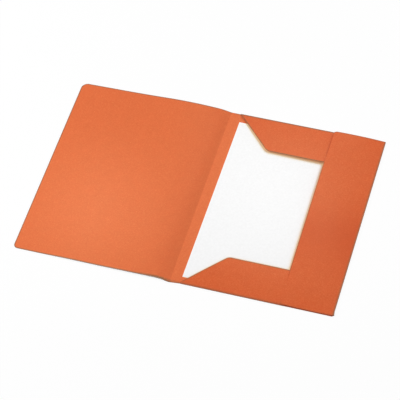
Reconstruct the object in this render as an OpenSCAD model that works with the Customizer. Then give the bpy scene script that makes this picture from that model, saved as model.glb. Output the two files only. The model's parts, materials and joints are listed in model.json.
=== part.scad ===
// Three-flap document folder: creased card, lying open, with its flaps folded
// in over a few loose sheets of paper.
// X runs across the open folder, Y runs up the spine and Z is up from the table.
// The origin is on the table under the middle of the open folder.

/* [Paper] */
// Width of a sheet
sheet_w = 210; // [200:1:220]
// Height of a sheet
sheet_h = 297; // [280:1:310]
// Thickness of one sheet
sheet_t = 0.1; // [0.08:0.01:0.2]
// Number of sheets in the stack
sheet_count = 5; // [1:1:10]
// Turn of the loose stack in the folder, in degrees
sheet_skew = 0.15; // [0:0.05:0.5]
// How far the loose stack has slipped towards the bottom flap
sheet_slip = 2.5; // [0:0.5:6]

/* [Covers] */
// Thickness of the card
card_t = 0.5; // [0.35:0.05:0.7]
// Room between each end of the sheets and the folder's edge
end_room = 14; // [10:0.5:20]
// Room between the sheets and the back crease
spine_room = 15; // [12:0.5:25]
// Room between the sheets and the outside of the side fold
side_room = 15; // [10:0.5:25]
// Width of the spine between its two creases
spine_w = 12; // [9:0.5:18]
// How far the closed front cover stops short of the side fold
cover_step = 14; // [4:0.5:20]
// Corner radius at the free edge of the front cover
cover_corner_r = 10; // [3:0.5:20]

/* [Creases] */
// Radius of the bead that scoring raises along each spine crease
bead_r = 0.5; // [0.4:0.05:0.7]
// Gap between a bead and the panels that turn about it
bead_gap = 0.1; // [0.05:0.05:0.2]
// Slope of the spine as the folder lies open, in degrees
spine_rise = 17; // [12:1:22]
// Slope of the front cover where it leaves the spine, in degrees
cover_rise = 4; // [2:0.5:6]
// Radius of the arch that the springy front cover makes beside the spine
arch_r = 570; // [450:10:700]
// Radius of the sweep that brings the arch down flat on the table
runout_r = 900; // [600:10:1100]

/* [Top and bottom flaps] */
// Depth of the top flap from the folder's edge
top_flap_depth = 61; // [45:0.5:80]
// Depth of the bottom flap from the folder's edge
bottom_flap_depth = 60.5; // [45:0.5:80]
// Distance from the back crease to the start of these flaps
flap_start = 15.5; // [8:0.5:25]
// Length along the fold of the slanted end of these flaps
flap_slant = 56; // [35:0.5:70]
// Corner radius where the slanted end meets the free edge
flap_corner_r = 4; // [1:0.5:10]
// Springback of the top flap, in degrees
top_lift = 2.4; // [0.5:0.1:3]
// Springback of the bottom flap, in degrees
bottom_lift = 1; // [0.5:0.1:3]
// Room over the sheets inside these folds
pocket_room = 0.7; // [0.4:0.1:2]

/* [Side flap] */
// Width of the side flap from the folder's edge
side_flap_w = 80; // [60:1:100]
// How far the side flap stops short of the folder's top and bottom edges
side_flap_inset = 0.5; // [0.5:0.5:6]
// Corner radius at the free edge of the side flap
side_corner_r = 6; // [1:0.5:15]
// Springback of the side flap at its fold, in degrees
side_lift = 3.5; // [2:0.1:5]
// Radius to which the side flap bows
side_bow_r = 1000; // [800:10:1500]
// Height of the side flap over the other flaps, at the folds
side_flap_clear = 0.1; // [0.1:0.1:1]
// Gap between the side flap's free edge and the ends of the other flaps
flap_gap = 0.3; // [0.2:0.1:3]
// Notch beside each end of a fold, where the card is cut to the crease
fold_relief = 0.5; // [0.3:0.1:2]

/* [Hidden] */

card_colour = "#E0703F";
crease_colour = "#D2643A";
paper_colour = "#F7F7F5";

// Fragments in a full turn of the bowed side flap, of a fold and of a bead
bow_fn = 1440;
fold_fn = 192;
bead_fn = 48;
// Steps in each rounded corner of an outline
corner_steps = 12;
// Steps along each bend of the front cover
bend_steps = 24;
// Extra length of a cutting shape past what it cuts
past = 1;

// Folder
folder_h = sheet_h + 2 * end_room;
back_w = spine_room + sheet_w + side_room;
front_w = back_w - cover_step;
stack_t = sheet_count * sheet_t;

// Folds: inner and outer radius, and the line of the hinge in each
pocket_r = (stack_t + pocket_room) / 2;
pocket_outer_r = pocket_r + card_t;
pocket_axis_y = folder_h / 2 - pocket_outer_r;
side_r = pocket_r + (card_t + side_flap_clear) / 2;
side_outer_r = side_r + card_t;
side_axis_x = back_w - side_outer_r;

// Top and bottom flaps: their ends along the fold
flap_end = back_w - side_flap_w - flap_gap;
flap_len = flap_end - flap_start;
flap_mid_x = (flap_start + flap_end) / 2;

// Side flap: length along the fold, and the turn that it bows through
side_len = folder_h - 2 * side_flap_inset;
side_bow = (side_flap_w - side_outer_r) / side_bow_r * 180 / PI;

// Front crease, at the top of the sloping spine
crease_rise = spine_w * sin(spine_rise);
front_axis_x = -spine_w * cos(spine_rise);
front_axis_z = bead_r + crease_rise;

// Front cover: slope where the arch hands over to the sweep, and the flat left
both_r = arch_r + runout_r;
handover = acos((runout_r + arch_r * cos(cover_rise) - crease_rise) / both_r);
arch_centre = [arch_r * sin(cover_rise), -arch_r * cos(cover_rise)];
runout_centre = arch_centre + both_r * [sin(handover), cos(handover)];
arc_len = (arch_r * (cover_rise + handover) + runout_r * handover) * PI / 180;
flat_len = front_w - arc_len;
cover_run = runout_centre.x + flat_len;

// Middle of the open folder, measured from the back crease
mid_x = (back_w + front_axis_x - cover_run) / 2;

echo(mid_x = mid_x, front_axis_x = front_axis_x, front_axis_z = front_axis_z);
echo(pocket_axis_y = pocket_axis_y, pocket_outer_r = pocket_outer_r);
echo(side_axis_x = side_axis_x, side_outer_r = side_outer_r);
echo(handover = handover, flat_len = flat_len, cover_run = cover_run);

// Points of the arc that rounds corner b of the path a, b, c
function corner_arc(a, b, c, r) =
    let (
        u = (a - b) / norm(a - b),
        v = (c - b) / norm(c - b),
        half = acos(u * v) / 2,
        centre = b + (u + v) / norm(u + v) * r / sin(half),
        from = b + u * r / tan(half) - centre,
        to = b + v * r / tan(half) - centre,
        start = atan2(from.y, from.x),
        turn = (atan2(to.y, to.x) - start + 540) % 360 - 180
    )
    [for (i = [0 : corner_steps])
        let (angle = start + turn * i / corner_steps)
        centre + r * [cos(angle), sin(angle)]];

// Points along a shallow arc of bent card
function arc_points(centre, r, from, to) =
    [for (i = [0 : bend_steps])
        let (angle = from + (to - from) * i / bend_steps)
        centre + r * [cos(angle), sin(angle)]];

// Outline through these points, with a radius at each, or 0 for a sharp corner
function rounded(points, radii) =
    let (n = len(points))
    [for (i = [0 : n - 1])
        each radii[i] > 0
            ? corner_arc(points[(i + n - 1) % n], points[i], points[(i + 1) % n], radii[i])
            : [points[i]]];

// Puts the model's origin in the middle of the open folder
module in_frame() translate([-mid_x, 0, 0]) children();

// Bar along Y
module bar(r, length) rotate([90, 0, 0]) cylinder(r = r, h = length, center = true, $fn = bead_fn);

// Space swept by a crease's bead and its gap
module bead_room() bar(bead_r + bead_gap, folder_h + 2 * past);

// Card bent about the Y axis, from its inner radius out, between two angles
module bent_card(r, from, turn, length, fn)
    rotate([90, 0, 0])
        rotate([0, 0, from])
            rotate_extrude(angle = turn, $fn = fn)
                translate([r, -length / 2])
                    square([card_t, length]);

// Column over an outline, to trim bent card to shape
module column(outline)
    translate([0, 0, -folder_h / 2])
        linear_extrude(folder_h)
            polygon(outline);

// Places a fold: hinge line at the origin along Y, outside of the folder at +X
module at_top() in_frame() translate([flap_mid_x, pocket_axis_y, pocket_outer_r]) rotate(90) children();
module at_bottom() in_frame() translate([flap_mid_x, -pocket_axis_y, pocket_outer_r]) rotate(-90) children();
module at_side() in_frame() translate([side_axis_x, 0, side_outer_r]) children();

// Half-round turn of card between the back cover and a flap
module fold_turn(r, lift, length) bent_card(r, -90, 180 - lift, length, fold_fn);

// Flat flap, with one end slanted and the other square, slant_side being -1 or 1
module pocket_flap(depth, lift, slant_side) {
    slant_y = slant_side * flap_len / 2;
    free_x = pocket_outer_r - depth;
    rotate([0, lift, 0])
        translate([0, 0, pocket_r])
            linear_extrude(card_t)
                polygon(rounded(
                    [
                        [0, slant_y],
                        [free_x, slant_y - slant_side * flap_slant],
                        [free_x, -slant_y],
                        [0, -slant_y]
                    ],
                    [0, flap_corner_r, 0, 0]
                ));
}

module back_cover() {
    edge_y = folder_h / 2;
    notch_start = flap_start - fold_relief;
    notch_end = flap_end + fold_relief;
    color(card_colour)
        in_frame()
            difference() {
                linear_extrude(card_t)
                    difference() {
                        translate([0, -edge_y])
                            square([side_axis_x, folder_h]);
                        // cut back to the hinge lines, where the folds carry on
                        for (side = [-1, 1])
                            translate([notch_start, side > 0 ? pocket_axis_y : -edge_y - past])
                                square([notch_end - notch_start, pocket_outer_r + past]);
                    }
                translate([0, 0, bead_r])
                    bead_room();
            }
}

module back_crease()
    color(crease_colour)
        in_frame()
            translate([0, 0, bead_r])
                bar(bead_r, folder_h);

module spine()
    color(card_colour)
        in_frame()
            translate([0, 0, bead_r])
                rotate([0, spine_rise, 0])
                    difference() {
                        translate([-spine_w, -folder_h / 2, -bead_r])
                            cube([spine_w, folder_h, card_t]);
                        bead_room();
                        translate([-spine_w, 0, 0])
                            bead_room();
                    }

module front_crease()
    color(crease_colour)
        in_frame()
            translate([front_axis_x, 0, front_axis_z])
                bar(bead_r, folder_h);

module front_cover() {
    half_h = folder_h / 2;
    inner_arch_r = arch_r - bead_r;
    outer_runout_r = runout_r + bead_r;
    underside = concat(
        arc_points(arch_centre, inner_arch_r, 90 + cover_rise, 90 - handover),
        arc_points(runout_centre, outer_runout_r, 270 - handover, 270),
        [[cover_run, -front_axis_z]]
    );
    upper_side = concat(
        [[cover_run, card_t - front_axis_z]],
        arc_points(runout_centre, outer_runout_r - card_t, 270, 270 - handover),
        arc_points(arch_centre, inner_arch_r + card_t, 90 - handover, 90 + cover_rise)
    );
    color(card_colour)
        in_frame()
            translate([front_axis_x, 0, front_axis_z])
                mirror([1, 0, 0])
                    difference() {
                        intersection() {
                            rotate([90, 0, 0])
                                linear_extrude(folder_h, center = true)
                                    polygon(concat(underside, upper_side));
                            column(rounded(
                                [
                                    [-past, -half_h],
                                    [cover_run, -half_h],
                                    [cover_run, half_h],
                                    [-past, half_h]
                                ],
                                [0, cover_corner_r, cover_corner_r, 0]
                            ));
                        }
                        bead_room();
                    }
}

module top_fold() color(crease_colour) at_top() fold_turn(pocket_r, top_lift, flap_len);

module top_flap() color(card_colour) at_top() pocket_flap(top_flap_depth, top_lift, 1);

module bottom_fold() color(crease_colour) at_bottom() fold_turn(pocket_r, bottom_lift, flap_len);

module bottom_flap() color(card_colour) at_bottom() pocket_flap(bottom_flap_depth, bottom_lift, -1);

module side_fold() color(crease_colour) at_side() fold_turn(side_r, side_lift, side_len);

module side_flap() {
    half_len = side_len / 2;
    free_x = -(side_bow_r * sin(side_bow));
    color(card_colour)
        at_side()
            rotate([0, side_lift, 0])
                intersection() {
                    translate([0, 0, side_r - side_bow_r])
                        bent_card(side_bow_r, 90, side_bow, side_len, bow_fn);
                    column(rounded(
                        [[past, half_len], [free_x, half_len], [free_x, -half_len], [past, -half_len]],
                        [0, side_corner_r, side_corner_r, 0]
                    ));
                }
}

module paper_sheets()
    color(paper_colour)
        in_frame()
            translate([spine_room + sheet_w / 2, -sheet_slip, card_t])
                rotate(-sheet_skew)
                    linear_extrude(stack_t)
                        square([sheet_w, sheet_h], center = true);

back_cover();
back_crease();
spine();
front_crease();
front_cover();
top_fold();
top_flap();
bottom_fold();
bottom_flap();
side_fold();
side_flap();
paper_sheets();
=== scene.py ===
# Looks of a three-flap card folder: dyed card panels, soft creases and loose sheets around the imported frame
import json
import math

import bmesh
import bpy
from mathutils import Matrix, Vector
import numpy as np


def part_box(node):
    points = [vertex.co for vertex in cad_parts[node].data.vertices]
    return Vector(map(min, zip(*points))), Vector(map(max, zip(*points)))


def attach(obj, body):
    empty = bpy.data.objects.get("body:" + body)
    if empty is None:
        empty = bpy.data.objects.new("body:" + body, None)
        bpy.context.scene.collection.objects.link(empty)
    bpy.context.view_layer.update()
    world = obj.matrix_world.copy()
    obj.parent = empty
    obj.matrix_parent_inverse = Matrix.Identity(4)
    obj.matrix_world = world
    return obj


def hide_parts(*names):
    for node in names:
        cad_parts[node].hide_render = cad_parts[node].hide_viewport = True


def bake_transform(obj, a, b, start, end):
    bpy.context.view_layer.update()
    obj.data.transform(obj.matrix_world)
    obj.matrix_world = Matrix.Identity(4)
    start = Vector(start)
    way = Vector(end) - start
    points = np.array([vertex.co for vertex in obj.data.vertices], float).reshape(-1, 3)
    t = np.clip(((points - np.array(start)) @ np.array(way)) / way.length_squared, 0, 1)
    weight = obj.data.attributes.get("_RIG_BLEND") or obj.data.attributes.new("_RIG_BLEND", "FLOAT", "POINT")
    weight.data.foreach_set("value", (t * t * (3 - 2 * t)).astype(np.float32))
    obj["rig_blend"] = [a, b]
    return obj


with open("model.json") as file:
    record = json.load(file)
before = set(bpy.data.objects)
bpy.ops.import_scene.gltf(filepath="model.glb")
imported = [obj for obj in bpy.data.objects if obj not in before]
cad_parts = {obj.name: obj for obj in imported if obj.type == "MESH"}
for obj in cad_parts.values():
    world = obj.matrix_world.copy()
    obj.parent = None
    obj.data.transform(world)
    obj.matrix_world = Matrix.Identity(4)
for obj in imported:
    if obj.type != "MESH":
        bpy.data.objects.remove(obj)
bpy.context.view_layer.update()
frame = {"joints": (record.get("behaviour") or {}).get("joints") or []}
joints = {joint["name"]: joint for joint in frame["joints"]}
mm = 0.001


# Nodes and colours

noiseSpan = {"From Min": 0.3, "From Max": 0.7}     # nearly all values of a noise texture lie in here


def hexColor(text):
    parts = [int(text[i:i + 2], 16) / 255 for i in (0, 2, 4)]
    return [p / 12.92 if p <= 0.04045 else ((p + 0.055) / 1.055) ** 2.4 for p in parts] + [1.0]


def addNode(tree, kind, settings={}, inputs={}):
    made = tree.nodes.new(kind)
    for key, value in settings.items():
        setattr(made, key, value)
    for key, value in inputs.items():
        if isinstance(value, bpy.types.NodeSocket):
            tree.links.new(value, made.inputs[key])
        else:
            made.inputs[key].default_value = value
    return made


def newMaterial(name):
    material = bpy.data.materials.new(name)
    material.use_nodes = True
    material.node_tree.nodes.clear()
    return material, material.node_tree


# Dyed card: pulp coloured right through and pressed matt on a paper machine. The eye sees a soft cloudy
# colour, short fibres lying every way and a dull tooth. Die-cut rims are darker with wear and painted shade,
# and creases with crushed fibres and painted shade.
cardFinish = {
    "cloudSize": 14.0,        # mm, thick and thin patches of pulp
    "cloudDepth": 0.02,
    "fibreSize": 1.6,         # mm, real fibres are finer: drawn coarse enough to show
    "fibreDepth": 0.035,
    "paleHex": "F2A868",      # fibres that took less dye
    "paleSpan": (0.45, 0.7),  # fibre noise at which they start to show, and show most
    "paleShare": 0.2,
    "toothSize": 1.8,         # mm, real tooth is about 0.2: drawn coarse enough to show
    "toothHeight": 0.03,      # mm
    "rimHex": "8C6448",       # brown of a worn cut rim, also painted shade along edges
    "rimShare": 0.95,         # how far a rim turns brown with wear and painted shade
    "wearAndShadeHex": "CC4C26",    # a deeper orange for crushed fibres, and for painted shade on slopes and in steps
    "sheenHex": "FFFCBE",     # dye in the surface fibres warms the sheen
}


def dyedCard(name, hexText, roughness, specular):
    material, tree = newMaterial(name)
    coords = addNode(tree, "ShaderNodeTexCoord")
    place = coords.outputs["Object"]
    clouds = addNode(tree, "ShaderNodeTexNoise", inputs={
        "Vector": place, "Scale": 1 / (cardFinish["cloudSize"] * mm), "Detail": 4.0, "Roughness": 0.6})
    fibres = addNode(tree, "ShaderNodeTexNoise", inputs={
        "Vector": place, "Scale": 1 / (cardFinish["fibreSize"] * mm), "Detail": 3.0, "Distortion": 1.6})
    tooth = addNode(tree, "ShaderNodeTexNoise", inputs={
        "Vector": place, "Scale": 1 / (cardFinish["toothSize"] * mm), "Detail": 2.0})
    cloudTone = addNode(tree, "ShaderNodeMapRange", inputs={
        "Value": clouds.outputs["Fac"], **noiseSpan,
        "To Min": 1 - cardFinish["cloudDepth"], "To Max": 1 + cardFinish["cloudDepth"]})
    fibreTone = addNode(tree, "ShaderNodeMapRange", inputs={
        "Value": fibres.outputs["Fac"], **noiseSpan,
        "To Min": 1 - cardFinish["fibreDepth"], "To Max": 1 + cardFinish["fibreDepth"]})
    paleFrom, paleFull = cardFinish["paleSpan"]
    pale = addNode(tree, "ShaderNodeMapRange", inputs={
        "Value": fibres.outputs["Fac"], "From Min": paleFrom, "From Max": paleFull,
        "To Max": cardFinish["paleShare"]})
    dyed = addNode(tree, "ShaderNodeMix", {"data_type": "RGBA"}, {
        "Factor": pale.outputs["Result"], 6: hexColor(hexText), 7: hexColor(cardFinish["paleHex"])})
    # rims, creases, steps and slopes are darkened by wear and by painted shade
    rim = addNode(tree, "ShaderNodeAttribute", {"attribute_name": "rimWearAndShade"})
    crease = addNode(tree, "ShaderNodeAttribute", {"attribute_name": "wearAndShade"})
    rimShare = addNode(tree, "ShaderNodeMath", {"operation": "MULTIPLY"}, {
        0: rim.outputs["Fac"], 1: cardFinish["rimShare"]})
    tone = addNode(tree, "ShaderNodeMath", {"operation": "MULTIPLY"}, {
        0: cloudTone.outputs["Result"], 1: fibreTone.outputs["Result"]})
    wornAndShaded = addNode(tree, "ShaderNodeMix", {"data_type": "RGBA"}, {
        "Factor": crease.outputs["Fac"], 6: dyed.outputs[2], 7: hexColor(cardFinish["wearAndShadeHex"])})
    worn = addNode(tree, "ShaderNodeMix", {"data_type": "RGBA"}, {
        "Factor": rimShare.outputs["Value"], 6: wornAndShaded.outputs[2], 7: hexColor(cardFinish["rimHex"])})
    colour = addNode(tree, "ShaderNodeVectorMath", {"operation": "SCALE"}, {
        "Vector": worn.outputs[2], "Scale": tone.outputs["Value"]})
    bump = addNode(tree, "ShaderNodeBump", inputs={
        "Height": tooth.outputs["Fac"], "Distance": cardFinish["toothHeight"] * mm, "Strength": 1.0})
    shader = addNode(tree, "ShaderNodeBsdfPrincipled", inputs={
        "Base Color": colour.outputs["Vector"], "Normal": bump.outputs["Normal"],
        "Roughness": roughness, "Specular IOR Level": specular, "IOR": 1.5,
        "Specular Tint": hexColor(cardFinish["sheenHex"])})
    addNode(tree, "ShaderNodeOutputMaterial", inputs={"Surface": shader.outputs["BSDF"]})
    return material


# Uncoated office paper: bleached pulp with no filler gloss. The eye sees a flat white with a faint cloud,
# and a warm glow close to the dyed card, which is stronger in life than a few bounces of light give, so that
# glow is painted in: a warm tint and a faint emission where a flap closes the paper in.
paperFinish = {
    "hex": "FFFFFF",
    "cloudSize": 3.0,             # mm
    "cloudDepth": 0.045,
    "glowHex": "F4DCB0",          # painted tint: white paper lit by the underside of a flap
    "glowReach": 8.0,             # mm
    "glowSpan": (0.78, 0.98),     # openness at which the glow is full, and gone
    "bounceHex": "FFC284",        # painted light, as emission: light that the flap throws back into its own shadow
    "bounce": 0.16,
    "bounceSpan": (0.45, 0.85),   # openness again
    "roughness": 0.85,
    "specular": 0.2,
}


def officePaper():
    material, tree = newMaterial("uncoatedPaper")
    coords = addNode(tree, "ShaderNodeTexCoord")
    clouds = addNode(tree, "ShaderNodeTexNoise", inputs={
        "Vector": coords.outputs["Object"], "Scale": 1 / (paperFinish["cloudSize"] * mm), "Detail": 3.0})
    tone = addNode(tree, "ShaderNodeMapRange", inputs={
        "Value": clouds.outputs["Fac"], **noiseSpan,
        "To Min": 1 - paperFinish["cloudDepth"], "To Max": 1.0})
    # painted bounce light and shade: the paper warms and glows faintly where a flap closes it in
    near = addNode(tree, "ShaderNodeAmbientOcclusion", {"samples": 16}, {
        "Distance": paperFinish["glowReach"] * mm})
    glowFull, glowGone = paperFinish["glowSpan"]
    clear = addNode(tree, "ShaderNodeMapRange", {"interpolation_type": "SMOOTHSTEP"}, {
        "Value": near.outputs["AO"], "From Min": glowFull, "From Max": glowGone})
    bounceFull, bounceGone = paperFinish["bounceSpan"]
    bounce = addNode(tree, "ShaderNodeMapRange", inputs={
        "Value": near.outputs["AO"], "From Min": bounceFull, "From Max": bounceGone,
        "To Min": paperFinish["bounce"], "To Max": 0.0})
    lit = addNode(tree, "ShaderNodeMix", {"data_type": "RGBA"}, {
        "Factor": clear.outputs["Result"],
        6: hexColor(paperFinish["glowHex"]), 7: hexColor(paperFinish["hex"])})
    colour = addNode(tree, "ShaderNodeVectorMath", {"operation": "SCALE"}, {
        "Vector": lit.outputs[2], "Scale": tone.outputs["Result"]})
    shader = addNode(tree, "ShaderNodeBsdfPrincipled", inputs={
        "Base Color": colour.outputs["Vector"], "Roughness": paperFinish["roughness"],
        "Specular IOR Level": paperFinish["specular"], "IOR": 1.5,
        "Emission Color": hexColor(paperFinish["bounceHex"]), "Emission Strength": bounce.outputs["Result"]})
    addNode(tree, "ShaderNodeOutputMaterial", inputs={"Surface": shader.outputs["BSDF"]})
    return material


innerCard = dyedCard("dyedCardInner", hexText="E46A3C", roughness=0.42, specular=0.42)
outerCard = dyedCard("dyedCardOuter", hexText="DA5B2F", roughness=0.34, specular=0.28)   # pressed smoother
paper = officePaper()
print("materials made")


# Making card

card = {
    "thickness": 0.5,     # mm
    "rimBand": 2.2,       # mm, how far in from a cut the rim shows wear and painted shade
    "rimRound": 0.08,     # mm, rounding left by the cutting die
    "rimAngle": 57,       # degrees, a sharper edge than this is a cut one
    "seamRoom": 0.2,      # mm, how close to a seam line counts as on it
    "cornerSteps": 10,    # facets of a rounded corner
    "rollSteps": 16,      # and of a half-round fold
    "sharpAngle": 20,     # degrees, an edge past this is shaded sharp
    "weld": 0.0001,       # mm, points closer than this are one
}
cardT = card["thickness"] * mm


def flat(x, y):
    return 0.0


def hump(run, at, half):
    return math.exp(-((run / mm - at) / half) ** 2)


def ramp(value, low, high):
    return min(1.0, max(0.0, (value - low) / (high - low)))


def band(fromX, toX, low, high):
    return [(fromX, low), (toX, low), (toX, high), (fromX, high)]


def finishPiece(name, bm, material):
    mesh = bpy.data.meshes.new(name)
    bm.to_mesh(mesh)
    bm.free()
    mesh.polygons.foreach_set("use_smooth", [True] * len(mesh.polygons))
    mesh.set_sharp_from_angle(angle=math.radians(card["sharpAngle"]))
    mesh.materials.append(material)
    piece = bpy.data.objects.new(name, mesh)
    bpy.context.scene.collection.objects.link(piece)
    return piece


def allParts(bm):
    return bm.verts[:] + bm.edges[:] + bm.faces[:]


def cutAt(bm, place, normal):
    bmesh.ops.bisect_plane(bm, geom=allParts(bm), dist=card["weld"] * mm, plane_co=place, plane_no=normal)


def cutAcross(bm, axis, spacing):
    # parallel cuts, so that the sheet can bend smoothly
    places = [v.co[axis] for v in bm.verts]
    low, high = min(places), max(places)
    count = max(1, round((high - low) / spacing))
    normal = Vector([1.0 if i == axis else 0.0 for i in range(3)])
    for i in range(1, count):
        cutAt(bm, normal * (low + (high - low) * i / count), normal)


def cardSheet(corners, height, rounds={}, cells=None, seams=(), thickness=cardT):
    # corners run anticlockwise in plan, and rounds gives the radius of some of them by number; height gives
    # the underside; cells are mm between cuts; seams are (axis, place) lines that have no rim
    bm = bmesh.new()
    wear = bm.verts.layers.float.new("rimWearAndShade")
    verts = [bm.verts.new((x, y, 0)) for x, y in corners]
    bm.faces.new(verts)
    bm.normal_update()
    for index, radius in rounds.items():
        bmesh.ops.bevel(bm, geom=[verts[index]], offset=radius, offset_type="OFFSET", affect="VERTICES",
                        segments=card["cornerSteps"], profile=0.5, material=-1)
    bmesh.ops.inset_region(bm, faces=bm.faces[:], thickness=card["rimBand"] * mm, use_boundary=True,
                           use_even_offset=True)
    if cells:
        for axis in (0, 1):
            cutAcross(bm, axis, cells[axis] * mm)
    for v in bm.verts:
        v.co.z = height(v.co.x, v.co.y)
    bmesh.ops.recalc_face_normals(bm, faces=bm.faces[:])
    if sum(f.normal.z for f in bm.faces) < 0:
        bmesh.ops.reverse_faces(bm, faces=bm.faces[:])
    bmesh.ops.solidify(bm, geom=bm.faces[:], thickness=-thickness)
    bmesh.ops.recalc_face_normals(bm, faces=bm.faces[:])

    def onSeam(v):
        return any(abs(v.co[axis] - place) < card["seamRoom"] * mm for axis, place in seams)

    cutAngle = math.radians(card["rimAngle"])
    rims = [e for e in bm.edges if e.calc_face_angle(0) > cutAngle and not all(onSeam(v) for v in e.verts)]
    made = bmesh.ops.bevel(bm, geom=rims, offset=card["rimRound"] * mm, offset_type="OFFSET", affect="EDGES",
                           segments=2, profile=0.5, material=-1)
    for f in made["faces"]:
        for v in f.verts:
            if not onSeam(v):
                v[wear] = 1.0
    return bm


# Spread: one line of card from the back cover over both creases to the front cover's free edge

spread = {
    "backCreaseHalf": 1.3,       # mm, half width of the bend at the back crease
    "frontCreaseHalf": 10.5,     # mm, the bend at the front crease is far softer
    "beadHeight": 0.06,          # mm, ridge raised by the scoring rule
    "beadHalf": 0.5,             # mm
    "backStrip": 3.0,            # mm, card on each side of the back crease that bends with it
    "frontStrip": 4.0,           # mm, the same at the front crease
    "stripCells": (0.3, 60),     # mm, across and along
    "spineCells": (1, 60),
    "riseSlope": 4.0,            # degrees, front cover where it leaves the spine
    "archRadius": 570.0,         # mm, sprung arch beside the spine
    "sweepRadius": 900.0,        # mm, sweep down to the table
    "sinkShare": 0.3,            # share of its height that the rise loses at the bottom edge
    "sinkRun": 90.0,             # mm, and over what length
    "wearAndShade": 0.3,           # crushed fibres and painted shade on the back crease
    "creaseHalf": 0.8,           # mm
    "paintedShade": 0.16,             # painted shade over the spine, which slopes away from the light, fading out over the cover beside it
    "shadeStart": 0.6,         # mm from the back crease
    "shadeFade": (15.0, 55.0),     # mm from there, where it starts to fade and where it is gone
    "footOut": 1.6,              # mm, how far the bottom end of the back crease is pushed out
    "footDeep": 4.0,             # mm, and how far into the card this reaches
    "footAt": 1.5,               # mm from the back crease
    "footHalf": 8.5,
    "footShadeAt": 14.0,               # mm from the back crease, the painted shadow on the edge there
    "footShadeHalf": 24.0,
}
backAxis = Vector(joints["spine_fold"]["pos_m"])
frontAxis = Vector(joints["cover_fold"]["pos_m"])
topAxis = Vector(joints["top_flap_fold"]["pos_m"])
bottomAxis = Vector(joints["bottom_flap_fold"]["pos_m"])
sideAxis = Vector(joints["side_flap_fold"]["pos_m"])
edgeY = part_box("back_cover")[1].y
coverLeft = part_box("front_cover")[0].x
topRollLow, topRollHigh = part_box("top_fold")
sideRollLow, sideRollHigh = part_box("side_fold")

spineSlope = (frontAxis.z - backAxis.z) / (backAxis.x - frontAxis.x)
spineCos = 1 / math.hypot(1, spineSlope)
riseAngle = math.radians(spread["riseSlope"])
archR = spread["archRadius"] * mm
sweepR = spread["sweepRadius"] * mm
archMid = Vector((archR * math.sin(riseAngle), frontAxis.z - archR * math.cos(riseAngle)))
handover = math.acos((sweepR + cardT - archMid.y) / (archR + sweepR))
sweepMid = archMid + (archR + sweepR) * Vector((math.sin(handover), math.cos(handover)))

backStripX = backAxis.x + spread["backStrip"] * mm
spineStripX = backAxis.x - spread["backStrip"] * mm
spineEndX = frontAxis.x + spread["frontStrip"] * mm
coverStripX = frontAxis.x - spread["frontStrip"] * mm


def smoothMax(a, b, reach):
    overlap = max(reach - abs(a - b), 0)
    return max(a, b) + overlap * overlap / (4 * reach)


def spineHeight(x):
    return spineSlope * (backAxis.x - x) + cardT * (1 - 1 / spineCos)


def coverHeight(x):
    run = frontAxis.x - x
    if run < archMid.x + archR * math.sin(handover):
        return archMid.y + math.sqrt((archR - cardT) ** 2 - (run - archMid.x) ** 2)
    if run < sweepMid.x:
        return sweepMid.y - math.sqrt((sweepR + cardT) ** 2 - (run - sweepMid.x) ** 2)
    return 0.0


def bead(x, place):
    return spread["beadHeight"] * mm * math.exp(-((x - place) / (spread["beadHalf"] * mm)) ** 2)


def spreadHeight(x, y):
    base = smoothMax(0.0, spineHeight(x), spread["backCreaseHalf"] * mm * spineSlope)
    turn = spineSlope - math.tan(riseAngle)
    z = -smoothMax(-base, -coverHeight(x), spread["frontCreaseHalf"] * mm * turn)
    low = max(0.0, 1 - (y + edgeY) / (spread["sinkRun"] * mm))
    return (z + bead(x, backAxis.x)) * (1 - spread["sinkShare"] * low * low)


def darkenCrease(bm):
    # fibres crushed on the back crease's own line with painted shade, and painted shade over the spine and
    # the cover beside it
    wear = bm.verts.layers.float.new("wearAndShade")
    for v in bm.verts:
        away = (backAxis.x - v.co.x) / mm
        fade = 1 - ramp(away, *spread["shadeFade"])
        paintedShade = spread["paintedShade"] * fade * ramp(away, 0, spread["shadeStart"])
        v[wear] = max(paintedShade, spread["wearAndShade"] * max(0.0, 1 - abs(away) / spread["creaseHalf"]))


def pushFoot(bm):
    # card crowded out at the bottom end of the back crease, with painted shadow on its rim for the gap under
    # it
    reach = spread["footDeep"] * mm
    cutAt(bm, (0, reach - edgeY, 0), (0, 1, 0))
    wear = bm.verts.layers.float["rimWearAndShade"]
    for v in bm.verts:
        deep = min(1.0, 1 - (v.co.y + edgeY) / reach)
        if deep > 0:
            run = backAxis.x - v.co.x
            footShaded = min(1.0, 2 * deep)      # all of the outer half
            v[wear] = max(v[wear], footShaded * hump(run, spread["footShadeAt"], spread["footShadeHalf"]))
            v.co.y -= spread["footOut"] * mm * hump(run, spread["footAt"], spread["footHalf"]) * deep


backSet = {
    "topTuck": 4.0,          # mm, how far the top flap reaches under the side flap
    "bottomTuck": 8.5,       # mm, the same for the bottom flap
    "notch": 0.5,            # mm, room beside the ends of both folds
    "tightNotch": 0.15,      # mm, and at the bottom fold's right end
    "hiddenWear": 0.3,       # the rim under the side flap is kept lighter, with little wear and painted shade
    "cells": (40, 40),
}
topRight = topRollHigh.x + backSet["topTuck"] * mm
bottomRight = topRollHigh.x + backSet["bottomTuck"] * mm


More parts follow.
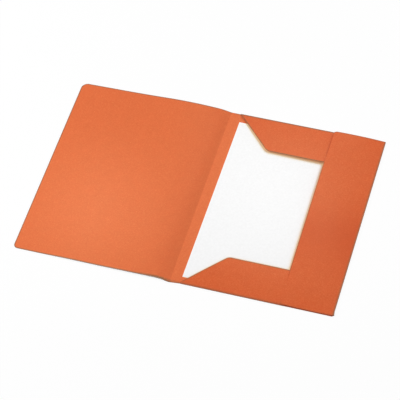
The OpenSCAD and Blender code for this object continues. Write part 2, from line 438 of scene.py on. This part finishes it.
def backPanel():
    left = topRollLow.x - backSet["notch"] * mm
    right = topRight + backSet["notch"] * mm
    lowRight = bottomRight + backSet["tightNotch"] * mm
    corners = [
        (backStripX, -edgeY), (left, -edgeY), (left, bottomAxis.y), (lowRight, bottomAxis.y),
        (lowRight, -edgeY), (sideAxis.x, -edgeY), (sideAxis.x, edgeY), (right, edgeY),
        (right, topAxis.y), (left, topAxis.y), (left, edgeY), (backStripX, edgeY)]
    seams = [(0, backStripX), (0, sideAxis.x), (1, topAxis.y), (1, bottomAxis.y)]
    bm = cardSheet(corners, flat, cells=backSet["cells"], seams=seams)
    wear = bm.verts.layers.float["rimWearAndShade"]
    for v in bm.verts:
        if v.co.x > bottomRight and v.co.y < 0:
            v[wear] *= backSet["hiddenWear"]
    pushFoot(bm)
    piece = finishPiece("backPanel", bm, innerCard)
    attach(piece, "back")
    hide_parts("back_cover")


def creaseStrip(name, low, high, bodies, node):
    bm = cardSheet(band(low, high, -edgeY, edgeY), spreadHeight, cells=spread["stripCells"],
                   seams=[(0, low), (0, high)])
    darkenCrease(bm)
    pushFoot(bm)
    piece = finishPiece(name, bm, innerCard)
    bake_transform(piece, bodies[0], bodies[1], start=(high, 0, 0), end=(low, 0, 0))
    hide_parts(node)


def spinePanel():
    bm = cardSheet(band(spineEndX, spineStripX, -edgeY, edgeY), spreadHeight, cells=spread["spineCells"],
                   seams=[(0, spineEndX), (0, spineStripX)])
    darkenCrease(bm)
    pushFoot(bm)
    piece = finishPiece("spinePanel", bm, innerCard)
    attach(piece, "spine")
    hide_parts("spine")


coverSet = {
    "topCorner": 10.0,       # mm
    "bottomCorner": 6.5,
    "squareOff": 0.6,        # mm, the bottom edge is that much shorter
    "bendRun": 30.0,         # mm from the front crease's strip over which the bends below set in
    "edgeFade": 1.5,         # power by which they fade from their own edge to the other one
    "twistTop": 2.4,         # mm, extra lift of the arch towards the top edge
    "twistAt": 125.0,        # mm from the front crease
    "twistHalf": 75.0,
    "sagBottom": 1.25,       # mm, loss of the arch towards the bottom edge
    "sagAt": 52.0,
    "sagHalf": 40.0,
    "liftBottom": 1.3,       # mm, and the wave that follows it there
    "liftAt": 142.0,
    "liftHalf": 32.0,
    "rippleHeight": 0.12,    # mm, card is never quite flat
    "rippleLength": 130.0,   # mm
    "rippleRun": 60.0,       # mm from the front crease over which the ripple sets in
    "rippleLean": 0.6,       # how far its crests lean from the cover's edges
    "rippleStretch": 0.7,    # waves across the cover for each one along it
    "cells": (6, 9),
}


def coverShape(x, y):
    run = frontAxis.x - x
    upper = (y / edgeY + 1) / 2
    fade = coverSet["edgeFade"]
    twist = coverSet["twistTop"] * mm * hump(run, coverSet["twistAt"], coverSet["twistHalf"]) * upper ** fade
    sag = coverSet["sagBottom"] * mm * hump(run, coverSet["sagAt"], coverSet["sagHalf"])
    lift = coverSet["liftBottom"] * mm * hump(run, coverSet["liftAt"], coverSet["liftHalf"])
    bottom = (lift - sag) * (1 - upper) ** fade
    start = min(1.0, (run - spread["frontStrip"] * mm) / (coverSet["bendRun"] * mm))
    wave = 2 * math.pi / (coverSet["rippleLength"] * mm)
    along = math.sin(wave * (y + coverSet["rippleLean"] * x))
    across = math.cos(coverSet["rippleStretch"] * wave * x)
    ripple = coverSet["rippleHeight"] * mm * min(1.0, run / (coverSet["rippleRun"] * mm))
    bends = start * start * (3 - 2 * start) * (twist + bottom)
    return spreadHeight(x, y) + bends + ripple * (1 + along * across)


def frontPanel():
    corners = band(coverLeft, coverStripX, -edgeY, edgeY)
    corners[0] = (coverLeft + coverSet["squareOff"] * mm, -edgeY)
    bm = cardSheet(corners, coverShape,
                   rounds={0: coverSet["bottomCorner"] * mm, 3: coverSet["topCorner"] * mm},
                   cells=coverSet["cells"], seams=[(0, coverStripX)])
    darkenCrease(bm)
    pushFoot(bm)
    piece = finishPiece("frontPanel", bm, innerCard)
    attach(piece, "front")
    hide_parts("front_cover")


backPanel()
creaseStrip("backCreaseStrip", spineStripX, backStripX, ("back", "spine"), "back_crease")
spinePanel()
creaseStrip("frontCreaseStrip", coverStripX, spineEndX, ("spine", "front"), "front_crease")
frontPanel()
print("covers and spine made")


# Flaps, each with the half-round roll of card that joins it to the back cover

def wearFold(bm, axis, place, amount):
    # a darker line where a flap leaves its fold, from wear and painted shade
    wear = bm.verts.layers.float["rimWearAndShade"]
    for v in bm.verts:
        if abs(v.co[axis] - place) < card["seamRoom"] * mm:
            v[wear] = amount


def outShare(v, axis, outward):
    # 1 on the outermost line of a roll, and 0 from its hinge line inwards
    return ramp((v.co - axis).dot(outward), 0, axis.z)


def foldRoll(axis, along, outward, slope, low, high):
    # a bar of card's cross-section, spun about the hinge line
    bm = bmesh.new()
    outer = axis.z
    inner = outer - cardT
    down = Vector((0, 0, -1))
    for end, radius in ((low, inner), (high, inner), (high, outer), (low, outer)):
        bm.verts.new(axis + along * end + down * radius)
    bm.faces.new(bm.verts[:])
    bmesh.ops.spin(bm, geom=allParts(bm), cent=axis, axis=down.cross(outward),
                   angle=math.pi - math.atan(slope), steps=card["rollSteps"])
    bmesh.ops.remove_doubles(bm, verts=bm.verts[:], dist=card["weld"] * mm)
    return bm


def finishRoll(name, bm, axis, outward, wears, body, node):
    bmesh.ops.recalc_face_normals(bm, faces=bm.faces[:])
    wear = bm.verts.layers.float.new("rimWearAndShade")
    for v in bm.verts:
        # darkest on the roll's outermost line, with wear and painted shade
        v[wear] = wears[0] + (wears[1] - wears[0]) * outShare(v, axis, outward) ** 2
    piece = finishPiece(name, bm, outerCard)
    outer = axis.z
    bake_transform(piece, "back", body,
             start=(axis.x, axis.y, axis.z - outer), end=(axis.x, axis.y, axis.z + outer))
    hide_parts(node)


# Top and bottom flap: pairs are left and right, and wears, which stand for wear and painted shade, are beside
# the fold and along its outside
pocketSet = {
    "corner": 4.0,           # mm
    "room": 0.05,            # mm, keeps an open flap clear of the back cover
    "cells": (6, 5),
}
topSet = {
    "depths": (61.4, 62.4),  # mm from the folder's edge
    "slant": 56.7,           # mm along the fold
    "slopes": (0.05, 0.06),  # rise per mm at the fold
    "ends": (1.1, 2.8),      # mm, rise of the free edge
    "wears": (0.95, 1.0),
    "bulge": 0.0,
}
bottomSet = {
    "depths": (61.0, 61.0),
    "slant": 55.2,
    "slopes": (0.03, 0.04),
    "ends": (0.3, 0.6),
    "wears": (0.3, 0.65),
    "bulge": 0.5,            # mm, the bottom fold stands out a little
}


def pocketFlap(name, values, axis, side, right, node):
    # side is 1 for the top flap and -1 for the bottom one
    inner = axis.z - cardT
    left = topRollLow.x
    slopes, ends, wears = values["slopes"], values["ends"], values["wears"]
    free = [side * (edgeY - depth * mm) for depth in values["depths"]]
    start = axis.y - side * pocketSet["room"] * mm
    corners = [(left, start), (left + values["slant"] * mm, free[0]), (right, free[1]), (right, start)]
    rounding = {1: pocketSet["corner"] * mm}
    if side < 0:
        corners = [corners[i] for i in (0, 3, 2, 1)]
        rounding = {3: pocketSet["corner"] * mm}

    def height(x, y):
        across = (x - left) / (right - left)
        slope, end, edge = (pair[0] + (pair[1] - pair[0]) * across for pair in (slopes, ends, free))
        full = side * (axis.y - edge)
        run = side * (axis.y - y)
        return axis.z + inner + slope * run - (slope * full - end * mm) * (run / full) ** 2

    bm = cardSheet(corners, height, rounds=rounding, cells=pocketSet["cells"], seams=[(1, axis.y)])
    wearFold(bm, 1, axis.y, wears[0])
    piece = finishPiece(name, bm, outerCard)
    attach(piece, node)
    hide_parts(node)

    outward = Vector((0, side, 0))
    roll = foldRoll(axis, Vector((1, 0, 0)), outward, sum(slopes) / 2, left - axis.x, right - axis.x)
    for v in roll.verts:
        v.co += outward * values["bulge"] * mm * outShare(v, axis, outward)
    finishRoll(name + "Roll", roll, axis, outward, wears, node, node.replace("flap", "fold"))


sideSet = {
    "width": 80.0,              # mm from the folder's edge
    "corner": 6.0,              # mm
    "leanTop": 0.2,             # mm, the free edge is not quite parallel to the fold
    "leanBottom": 1.5,
    # how the flap bows, as (y in mm, value): rise per mm at the fold, and mm by which the free edge rises
    "slope": ((162.5, 0.085), (100.0, 0.05), (-20.0, 0.096), (-100.0, 0.06), (-162.5, 0.04)),
    "rise": ((162.5, 1.7), (100.0, 3.75), (0.0, 2.6), (-100.0, 0.95), (-162.5, 0.3)),
    "meanSlope": 0.062,         # rise per mm at which the roll meets the flap
    "droop": 1.4,               # mm, the flap's bottom end sinks between fold and bottom flap
    "droopRun": 34.0,           # mm up from the bottom edge
    "droopEdge": 10.0,          # mm at the free edge that lie on the bottom flap and do not sink
    "droopFlat": 0.7,           # power that broadens the sunk part
    "footCut": 1.0,             # mm, the roll stops short of the bottom corner
    "footFlare": 1.0,           # mm, and spreads a little there
    "footRun": 8.0,             # mm
    "footSteps": 6,
    "foldWear": (0.45, 0.9),    # beside the fold and along its outside
    "paintedShade": 0.5,             # painted shade: a band across the flap's middle, where its bow turns from the light
    "shadeAt": -25.0,         # mm along the fold
    "shadeHalf": 48.0,
    # the free edge is brown with wear and painted shade over the sheets, bare where it lies on another flap,
    # and has painted shade where it steps over another flap
    "edgeWear": 0.6,
    "footWear": 0.25,           # the same near the bottom edge
    "footTop": -130.0,          # mm along the fold
    "bareSpan": (98.0, 106.0),  # mm up or down from the middle
    "endSpan": (3.0, 8.0),      # mm in from the top and bottom edges
    "stepShade": 1.3,
    "stepShadeTop": (106.0, 120.0),    # mm along the fold
    "stepShadeBottom": -106.0,
    "stepShadeHalf": 16.0,
    "cells": (5, 8),
}


def smoothLine(points, place):
    # the curve through all the points
    total = 0.0
    for at, value in points:
        total += value * math.prod((place - other) / (at - other) for other, _ in points if other != at)
    return total


def sideHeight(x, y):
    run = sideAxis.x - x
    full = sideAxis.x - (sideRollHigh.x - sideSet["width"] * mm)
    slope = smoothLine(sideSet["slope"], y / mm)
    end = smoothLine(sideSet["rise"], y / mm) * mm
    bow = (slope * full - end) / full ** 2
    low = ramp((y + edgeY) / mm, 0, sideSet["droopRun"])
    wide = ramp(run, 0, full - sideSet["droopEdge"] * mm)
    droop = sideSet["droop"] * mm * (1 - low) ** 2 * math.sin(math.pi * wide) ** sideSet["droopFlat"]
    return sideAxis.z * 2 - cardT + slope * run - bow * run * run - droop


def wearSide(bm):
    rim = bm.verts.layers.float["rimWearAndShade"]
    dark = bm.verts.layers.float.new("wearAndShade")
    for v in bm.verts:
        at = v.co.y / mm
        inside = ramp(edgeY / mm - abs(at), *sideSet["endSpan"])
        lying = ramp(abs(at), *sideSet["bareSpan"]) * inside
        # painted shade where the free edge steps over the top and bottom flaps
        stepShadedLow = 1 - ramp(abs(at - sideSet["stepShadeBottom"]), 0, sideSet["stepShadeHalf"])
        stepShaded = max(ramp(at, *sideSet["stepShadeTop"]) * inside, stepShadedLow)
        # painted shade across the flap's middle, for its bow
        paintedShade = sideSet["paintedShade"] * hump(v.co.y, sideSet["shadeAt"], sideSet["shadeHalf"])
        v[dark] = max(sideSet["stepShade"] * v[rim] * stepShaded, paintedShade)
        v[rim] *= (1 - lying) * sideSet["footWear" if at < sideSet["footTop"] else "edgeWear"]


def flareFoot(roll, foot, along, outward):
    run = sideSet["footRun"] * mm
    steps = sideSet["footSteps"]
    for i in range(1, steps + 1):
        cutAt(roll, foot + along * run * i / steps, along)
    for v in roll.verts:
        near = max(0.0, 1 - (v.co - foot).dot(along) / run)
        v.co += outward * sideSet["footFlare"] * mm * near ** 2 * outShare(v, sideAxis, outward)


def sideFlap():
    free = sideRollHigh.x - sideSet["width"] * mm
    corners = band(free, sideAxis.x, sideRollLow.y, edgeY)
    corners[0] = (free + sideSet["leanBottom"] * mm, sideRollLow.y)
    corners[3] = (free + sideSet["leanTop"] * mm, edgeY)
    bm = cardSheet(corners, sideHeight, rounds={0: sideSet["corner"] * mm, 3: sideSet["corner"] * mm},
                   cells=sideSet["cells"], seams=[(0, sideAxis.x)])
    wearSide(bm)
    wearFold(bm, 0, sideAxis.x, sideSet["foldWear"][0])
    piece = finishPiece("sideFlap", bm, outerCard)
    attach(piece, "side_flap")
    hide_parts("side_flap")

    along, outward = Vector((0, 1, 0)), Vector((1, 0, 0))
    low = sideRollLow.y + sideSet["footCut"] * mm
    roll = foldRoll(sideAxis, along, outward, sideSet["meanSlope"], low, edgeY)
    flareFoot(roll, sideAxis + along * low, along, outward)
    finishRoll("sideFlapRoll", roll, sideAxis, outward, sideSet["foldWear"], "side_flap", "side_fold")


pocketFlap("topFlap", topSet, topAxis, 1, topRight, "top_flap")
pocketFlap("bottomFlap", bottomSet, bottomAxis, -1, bottomRight, "bottom_flap")
sideFlap()
print("flaps made")


# Loose sheets

paperSet = {
    "width": 208.6,          # mm, short of A4 by the room that the slide needs at the side fold
    "height": 297.0,         # mm
    "count": 5,
    "thin": 0.09,            # mm, a hair under the pile's own step, so that the sheets stay apart
    "skew": 0.3,             # degrees
    "shift": 1.0,            # mm to the right
    "strays": (0.25, -0.2, 0.15, -0.1, 0.0),     # mm, how far each sheet has crept from the pile
    "cells": (30, 30),
}


def looseSheets():
    low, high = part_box("paper_sheets")
    mid = (low + high) / 2
    step = (high.z - low.z) / paperSet["count"]
    half = Vector((paperSet["width"], paperSet["height"])) * mm / 2
    turn = Matrix.Rotation(math.radians(-paperSet["skew"]), 4, "Z")
    pile = bmesh.new()
    for i, stray in enumerate(paperSet["strays"]):
        bm = cardSheet(band(-half.x, half.x, -half.y, half.y), flat, cells=paperSet["cells"],
                       thickness=paperSet["thin"] * mm)
        right = mid.x + (paperSet["shift"] + stray) * mm
        place = Matrix.Translation((right, mid.y - stray * mm, low.z + i * step))
        bmesh.ops.transform(bm, matrix=place @ turn, verts=bm.verts[:])
        mesh = bpy.data.meshes.new("sheet")
        bm.to_mesh(mesh)
        bm.free()
        pile.from_mesh(mesh)
        bpy.data.meshes.remove(mesh)
    piece = finishPiece("paperSheets", pile, paper)
    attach(piece, "sheets")
    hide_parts("paper_sheets")


looseSheets()
print("sheets made")


# Stage: white floor that keeps a faint shadow, with painted shadow in the gap under the arch, a wide lamp on
# the left, smaller ones behind, and the camera

stageSet = {
    "floorSize": 8.0,          # m
    "floorDrop": 0.05,         # mm, keeps the floor clear of the card's underside
    "floorHex": "FAFAFA",
    "floorGlow": 0.92,         # share of plain white that the camera sees in the floor
    "gapReach": 0.02,          # m, how near a piece must be for painted shade on the floor under it
    "gapSpan": (0.2, 0.36),    # openness at which the painted shadow on the floor is full, and gone
    "gapShadeHex": "6E5A50",        # painted shadow on the floor in the gap under the arch
    "worldLight": 0.425,
}
# places, aims and sizes in m, power in watts, cone in degrees
lampSet = {
    "key": {"kind": "AREA", "place": (-1.3, -0.1, 1.03), "aim": (-0.06, 0, 0), "size": 0.9, "power": 16.0},
    "fill": {"kind": "AREA", "place": (0.85, 0.72, 1.05), "aim": (0.08, 0, 0), "size": 0.32, "power": 5.8},
    "pool": {"kind": "SPOT", "place": (-0.06, 0.85, 1.0), "aim": (0.12, 0.01, 0), "size": 0.15,
             "power": 11.0, "cone": 16.0},
    "patch": {"kind": "SPOT", "place": (-0.42, 0.66, 1.0), "aim": (-0.15, -0.08, 0), "size": 0.08,
              "power": 9.0, "cone": 11.0},
}


def whiteFloor():
    bm = bmesh.new()
    bmesh.ops.create_grid(bm, x_segments=1, y_segments=1, size=stageSet["floorSize"] / 2)
    bmesh.ops.translate(bm, vec=(0, 0, -stageSet["floorDrop"] * mm), verts=bm.verts[:])
    mesh = bpy.data.meshes.new("floor")
    bm.to_mesh(mesh)
    bm.free()
    material, tree = newMaterial("whiteSweep")
    path = addNode(tree, "ShaderNodeLightPath")
    seen = addNode(tree, "ShaderNodeMath", {"operation": "MAXIMUM"}, {
        0: path.outputs["Is Camera Ray"], 1: path.outputs["Is Glossy Ray"]})
    seen = addNode(tree, "ShaderNodeMath", {"operation": "MAXIMUM"}, {
        0: seen.outputs["Value"], 1: path.outputs["Is Transmission Ray"]})
    # painted shadow: the floor turns dark brown where pieces close it in, as in the gap under the arch
    shade = addNode(tree, "ShaderNodeAmbientOcclusion", {"samples": 8}, {"Distance": stageSet["gapReach"]})
    gapDark, gapClear = stageSet["gapSpan"]
    clear = addNode(tree, "ShaderNodeMapRange", {"interpolation_type": "SMOOTHSTEP"}, {
        "Value": shade.outputs["AO"], "From Min": gapDark, "From Max": gapClear})
    glowing = addNode(tree, "ShaderNodeMath", {"operation": "MULTIPLY"}, {
        0: clear.outputs["Result"], 1: stageSet["floorGlow"]})
    share = addNode(tree, "ShaderNodeMath", {"operation": "MULTIPLY"}, {
        0: seen.outputs["Value"], 1: glowing.outputs["Value"]})
    tint = addNode(tree, "ShaderNodeMix", {"data_type": "RGBA"}, {
        "Factor": clear.outputs["Result"],
        6: hexColor(stageSet["gapShadeHex"]), 7: hexColor(stageSet["floorHex"])})
    matt = addNode(tree, "ShaderNodeBsdfDiffuse", inputs={"Color": tint.outputs[2]})
    glow = addNode(tree, "ShaderNodeEmission", inputs={"Color": hexColor("FFFFFF"), "Strength": 1.0})
    mixed = addNode(tree, "ShaderNodeMixShader", inputs={
        0: share.outputs["Value"], 1: matt.outputs["BSDF"], 2: glow.outputs["Emission"]})
    addNode(tree, "ShaderNodeOutputMaterial", inputs={"Surface": mixed.outputs["Shader"]})
    mesh.materials.append(material)
    floor = bpy.data.objects.new("floor", mesh)
    bpy.context.scene.collection.objects.link(floor)


def studioWorld():
    world = bpy.data.worlds.new("studio")
    bpy.context.scene.world = world
    world.use_nodes = True
    tree = world.node_tree
    tree.nodes.clear()
    path = addNode(tree, "ShaderNodeLightPath")
    strength = addNode(tree, "ShaderNodeMapRange", inputs={
        "Value": path.outputs["Is Camera Ray"], "To Min": stageSet["worldLight"], "To Max": 1.0})
    sky = addNode(tree, "ShaderNodeBackground", inputs={
        "Color": hexColor("FFFFFF"), "Strength": strength.outputs["Result"]})
    addNode(tree, "ShaderNodeOutputWorld", inputs={"Surface": sky.outputs["Background"]})


def hangLamp(name, values):
    light = bpy.data.lights.new(name, values["kind"])
    light.energy = values["power"]
    if values["kind"] == "SPOT":
        light.shadow_soft_size = values["size"]
        light.spot_size = math.radians(values["cone"])
        light.spot_blend = 1.0
    else:
        light.size = values["size"]
    lamp = bpy.data.objects.new(name, light)
    lamp.location = values["place"]
    aim = Vector(values["aim"]) - lamp.location
    lamp.rotation_euler = aim.to_track_quat("-Z", "Y").to_euler()
    bpy.context.scene.collection.objects.link(lamp)


cameraSet = {
    "azimuth": 19.089,       # degrees
    "elevation": 52.118,
    "roll": -3.522,
    "distance": 2905.4,      # mm
    "target": (-0.161, -10.8, 0.0),     # mm
    "focalPixels": 1979.7,
    "framePixels": 400,
    "sensorWidth": 36,       # mm
}


def photoCamera():
    azimuth, elevation, roll = (math.radians(cameraSet[key]) for key in ("azimuth", "elevation", "roll"))
    back = Vector((math.sin(azimuth) * math.cos(elevation),
                   -math.cos(azimuth) * math.cos(elevation),
                   math.sin(elevation)))
    right = Vector((math.cos(azimuth), math.sin(azimuth), 0))
    up = back.cross(right)
    turnedRight = math.cos(roll) * right + math.sin(roll) * up
    turnedUp = math.cos(roll) * up - math.sin(roll) * right
    data = bpy.data.cameras.new("camera")
    data.sensor_width = cameraSet["sensorWidth"]
    data.lens = data.sensor_width * cameraSet["focalPixels"] / cameraSet["framePixels"]
    camera = bpy.data.objects.new("camera", data)
    camera.matrix_world = Matrix((turnedRight, turnedUp, back)).transposed().to_4x4()
    camera.location = Vector(cameraSet["target"]) * mm + back * cameraSet["distance"] * mm
    bpy.context.scene.collection.objects.link(camera)
    bpy.context.scene.camera = camera


whiteFloor()
studioWorld()
for lampName, lampValues in lampSet.items():
    hangLamp(lampName, lampValues)
photoCamera()
bpy.context.scene.view_settings.view_transform = "Standard"
print("stage set")
